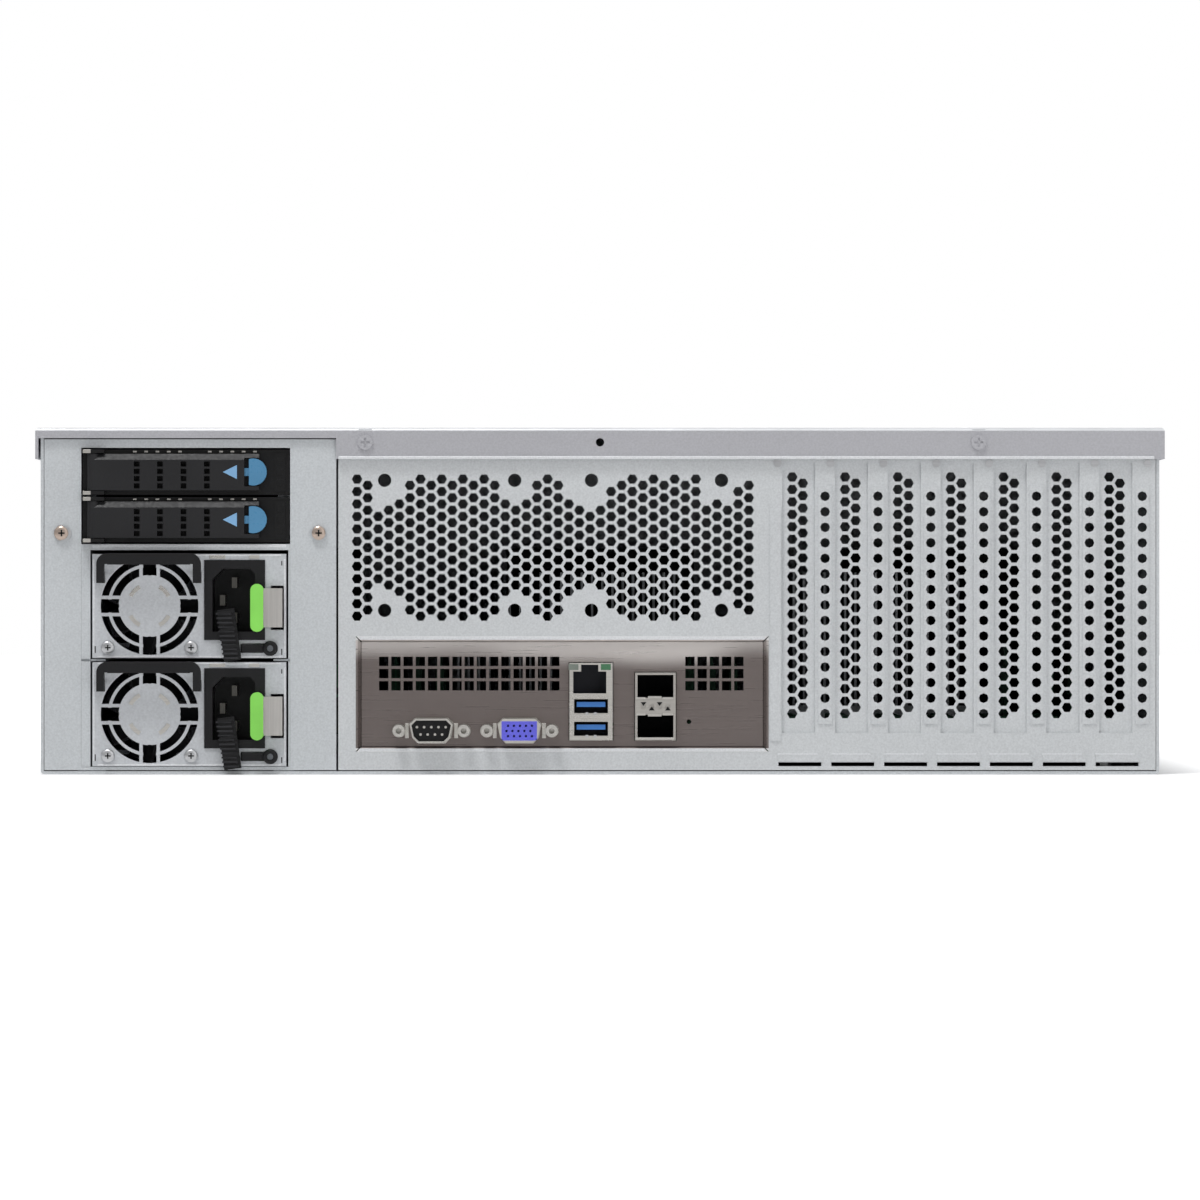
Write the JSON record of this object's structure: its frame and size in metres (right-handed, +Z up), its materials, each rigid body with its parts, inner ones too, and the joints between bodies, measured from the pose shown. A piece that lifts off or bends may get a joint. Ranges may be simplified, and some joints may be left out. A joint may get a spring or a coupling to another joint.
{
  "type": "rackmount server case",
  "caption": "Rackmount server case with vented rear, expansion slots, connector shield, pull-out power modules, rear drive trays and front drive carriers.",
  "frame": {"origin": "on the underside, in the middle of the case's overall width and depth", "axes": "+X to the right as seen from the rear, +Y towards the front, +Z up"},
  "size_m": [0.4826, 0.693, 0.1332],
  "materials": {
    "galvanised": "satin",
    "cover_steel": "satin",
    "nickel": "satin",
    "zinc": "bright",
    "board_green": "satin",
    "fin_metal": "satin",
    "port_metal": "satin",
    "port_blue": "satin",
    "black_plastic": "satin",
    "dark_plastic": "satin",
    "catch_blue": "satin",
    "psu_steel": "satin",
    "latch_green": "satin",
    "button_grey": "satin",
    "handle_metal": "satin"
  },
  "bodies": {
    "chassis": {"base_tray": "galvanised", "rear_panel": "galvanised", "psu_bay_plate": "galvanised", "io_shield": "nickel", "slot_covers": "galvanised", "chassis_screws": "zinc", "motherboard": "board_green", "cpu_coolers": "fin_metal", "memory_modules": "board_green", "serial_port": "port_metal", "vga_port": "port_blue", "lan_usb_stack": "port_metal", "sfp_cage": "port_metal", "fan_wall": "galvanised", "fan_frames": "black_plastic", "backplanes": "board_green", "front_bay_cage": "galvanised", "rear_bay_cage": "galvanised", "rack_ears": "cover_steel", "ear_handles": "handle_metal", "front_panel": "dark_plastic", "control_panel": "dark_plastic"},
    "top_cover": {"top_cover": "cover_steel"},
    "power_button": {"power_button": "button_grey"},
    "reset_button": {"reset_button": "button_grey"},
    "fan_rotor_1": {"fan_rotor_1": "black_plastic"},
    "fan_rotor_2": {"fan_rotor_2": "black_plastic"},
    "fan_rotor_3": {"fan_rotor_3": "black_plastic"},
    "drive_carrier_1": {"drive_carrier_1": "dark_plastic"},
    "carrier_lever_1": {"carrier_lever_1": "dark_plastic"},
    "drive_carrier_2": {"drive_carrier_2": "dark_plastic"},
    "carrier_lever_2": {"carrier_lever_2": "dark_plastic"},
    "drive_carrier_3": {"drive_carrier_3": "dark_plastic"},
    "carrier_lever_3": {"carrier_lever_3": "dark_plastic"},
    "drive_carrier_4": {"drive_carrier_4": "dark_plastic"},
    "carrier_lever_4": {"carrier_lever_4": "dark_plastic"},
    "drive_carrier_5": {"drive_carrier_5": "dark_plastic"},
    "carrier_lever_5": {"carrier_lever_5": "dark_plastic"},
    "drive_carrier_6": {"drive_carrier_6": "dark_plastic"},
    "carrier_lever_6": {"carrier_lever_6": "dark_plastic"},
    "drive_carrier_7": {"drive_carrier_7": "dark_plastic"},
    "carrier_lever_7": {"carrier_lever_7": "dark_plastic"},
    "drive_carrier_8": {"drive_carrier_8": "dark_plastic"},
    "carrier_lever_8": {"carrier_lever_8": "dark_plastic"},
    "rear_tray_1": {"rear_tray_1": "dark_plastic"},
    "rear_lever_1": {"rear_lever_1": "dark_plastic"},
    "rear_catch_1": {"rear_catch_1": "catch_blue"},
    "rear_tray_2": {"rear_tray_2": "dark_plastic"},
    "rear_lever_2": {"rear_lever_2": "dark_plastic"},
    "rear_catch_2": {"rear_catch_2": "catch_blue"},
    "psu_module_1": {"psu_module_1": "psu_steel", "power_inlet_1": "black_plastic"},
    "psu_rotor_1": {"psu_rotor_1": "black_plastic"},
    "psu_handle_1": {"psu_handle_1": "dark_plastic"},
    "psu_latch_1": {"psu_latch_1": "latch_green"},
    "psu_module_2": {"psu_module_2": "psu_steel", "power_inlet_2": "black_plastic"},
    "psu_rotor_2": {"psu_rotor_2": "black_plastic"},
    "psu_handle_2": {"psu_handle_2": "dark_plastic"},
    "psu_latch_2": {"psu_latch_2": "latch_green"}
  },
  "joints": [
    {"name": "cover_slide", "type": "slide", "parent": "chassis", "child": "top_cover", "axis": [0, -1, 0], "range_m": [0, 0.016]},
    {"name": "power_press", "type": "slide", "parent": "chassis", "child": "power_button", "axis": [0, -1, 0], "range_m": [0, 0.0015], "stiffness_N_per_m": 400},
    {"name": "reset_press", "type": "slide", "parent": "chassis", "child": "reset_button", "axis": [0, -1, 0], "range_m": [0, 0.0015], "stiffness_N_per_m": 300},
    {"name": "fan_1_spin", "type": "hinge", "parent": "chassis", "child": "fan_rotor_1", "pos_m": [-0.14253, 0.0449, 0.0492], "axis": [0, 1, 0], "continuous": true},
    {"name": "fan_2_spin", "type": "hinge", "parent": "chassis", "child": "fan_rotor_2", "pos_m": [0, 0.0449, 0.0492], "axis": [0, 1, 0], "continuous": true},
    {"name": "fan_3_spin", "type": "hinge", "parent": "chassis", "child": "fan_rotor_3", "pos_m": [0.14253, 0.0449, 0.0492], "axis": [0, 1, 0], "continuous": true},
    {"name": "carrier_1_slide", "type": "slide", "parent": "chassis", "child": "drive_carrier_1", "axis": [0, 1, 0], "range_m": [0, 0.18]},
    {"name": "carrier_1_lever", "type": "hinge", "parent": "drive_carrier_1", "child": "carrier_lever_1", "pos_m": [-0.2054, 0.31, 0.015], "axis": [0, 0, 1], "range_deg": [0, 65]},
    {"name": "carrier_2_slide", "type": "slide", "parent": "chassis", "child": "drive_carrier_2", "axis": [0, 1, 0], "range_m": [0, 0.18]},
    {"name": "carrier_2_lever", "type": "hinge", "parent": "drive_carrier_2", "child": "carrier_lever_2", "pos_m": [-0.0982, 0.31, 0.015], "axis": [0, 0, 1], "range_deg": [0, 65]},
    {"name": "carrier_3_slide", "type": "slide", "parent": "chassis", "child": "drive_carrier_3", "axis": [0, 1, 0], "range_m": [0, 0.18]},
    {"name": "carrier_3_lever", "type": "hinge", "parent": "drive_carrier_3", "child": "carrier_lever_3", "pos_m": [0.009, 0.31, 0.015], "axis": [0, 0, 1], "range_deg": [0, 65]},
    {"name": "carrier_4_slide", "type": "slide", "parent": "chassis", "child": "drive_carrier_4", "axis": [0, 1, 0], "range_m": [0, 0.18]},
    {"name": "carrier_4_lever", "type": "hinge", "parent": "drive_carrier_4", "child": "carrier_lever_4", "pos_m": [0.1162, 0.31, 0.015], "axis": [0, 0, 1], "range_deg": [0, 65]},
    {"name": "carrier_5_slide", "type": "slide", "parent": "chassis", "child": "drive_carrier_5", "axis": [0, 1, 0], "range_m": [0, 0.18]},
    {"name": "carrier_5_lever", "type": "hinge", "parent": "drive_carrier_5", "child": "carrier_lever_5", "pos_m": [-0.2054, 0.31, 0.0434], "axis": [0, 0, 1], "range_deg": [0, 65]},
    {"name": "carrier_6_slide", "type": "slide", "parent": "chassis", "child": "drive_carrier_6", "axis": [0, 1, 0], "range_m": [0, 0.18]},
    {"name": "carrier_6_lever", "type": "hinge", "parent": "drive_carrier_6", "child": "carrier_lever_6", "pos_m": [-0.0982, 0.31, 0.0434], "axis": [0, 0, 1], "range_deg": [0, 65]},
    {"name": "carrier_7_slide", "type": "slide", "parent": "chassis", "child": "drive_carrier_7", "axis": [0, 1, 0], "range_m": [0, 0.18]},
    {"name": "carrier_7_lever", "type": "hinge", "parent": "drive_carrier_7", "child": "carrier_lever_7", "pos_m": [0.009, 0.31, 0.0434], "axis": [0, 0, 1], "range_deg": [0, 65]},
    {"name": "carrier_8_slide", "type": "slide", "parent": "chassis", "child": "drive_carrier_8", "axis": [0, 1, 0], "range_m": [0, 0.18]},
    {"name": "carrier_8_lever", "type": "hinge", "parent": "drive_carrier_8", "child": "carrier_lever_8", "pos_m": [0.1162, 0.31, 0.0434], "axis": [0, 0, 1], "range_deg": [0, 65]},
    {"name": "rear_tray_1_slide", "type": "slide", "parent": "chassis", "child": "rear_tray_1", "axis": [0, -1, 0], "range_m": [0, 0.11]},
    {"name": "rear_tray_1_lever", "type": "hinge", "parent": "rear_tray_1", "child": "rear_lever_1", "pos_m": [-0.1947, -0.3388, 0.09785], "axis": [0, 0, -1], "range_deg": [0, 65]},
    {"name": "rear_tray_1_catch", "type": "slide", "parent": "rear_lever_1", "child": "rear_catch_1", "axis": [-1, 0, 0], "range_m": [0, 0.0015], "stiffness_N_per_m": 200},
    {"name": "rear_tray_2_slide", "type": "slide", "parent": "chassis", "child": "rear_tray_2", "axis": [0, -1, 0], "range_m": [0, 0.11]},
    {"name": "rear_tray_2_lever", "type": "hinge", "parent": "rear_tray_2", "child": "rear_lever_2", "pos_m": [-0.1947, -0.3388, 0.11615], "axis": [0, 0, -1], "range_deg": [0, 65]},
    {"name": "rear_tray_2_catch", "type": "slide", "parent": "rear_lever_2", "child": "rear_catch_2", "axis": [-1, 0, 0], "range_m": [0, 0.0015], "stiffness_N_per_m": 200},
    {"name": "psu_1_slide", "type": "slide", "parent": "chassis", "child": "psu_module_1", "axis": [0, -1, 0], "range_m": [0, 0.18]},
    {"name": "psu_1_fan", "type": "hinge", "parent": "psu_module_1", "child": "psu_rotor_1", "pos_m": [-0.1731, -0.3263, 0.0231], "axis": [0, 1, 0], "continuous": true},
    {"name": "psu_1_handle", "type": "hinge", "parent": "psu_module_1", "child": "psu_handle_1", "pos_m": [-0.1731, -0.3411, 0.0341], "axis": [1, 0, 0], "range_deg": [0, 90]},
    {"name": "psu_1_latch", "type": "hinge", "parent": "psu_module_1", "child": "psu_latch_1", "pos_m": [-0.1242, -0.3101, 0.0224], "axis": [0, 0, -1], "range_deg": [0, 4], "stiffness_Nm_per_rad": 0.5},
    {"name": "psu_2_slide", "type": "slide", "parent": "chassis", "child": "psu_module_2", "axis": [0, -1, 0], "range_m": [0, 0.18]},
    {"name": "psu_2_fan", "type": "hinge", "parent": "psu_module_2", "child": "psu_rotor_2", "pos_m": [-0.1731, -0.3263, 0.0647], "axis": [0, 1, 0], "continuous": true},
    {"name": "psu_2_handle", "type": "hinge", "parent": "psu_module_2", "child": "psu_handle_2", "pos_m": [-0.1731, -0.3411, 0.0757], "axis": [1, 0, 0], "range_deg": [0, 90]},
    {"name": "psu_2_latch", "type": "hinge", "parent": "psu_module_2", "child": "psu_latch_2", "pos_m": [-0.1242, -0.3101, 0.064], "axis": [0, 0, -1], "range_deg": [0, 4], "stiffness_Nm_per_rad": 0.5}
  ]
}
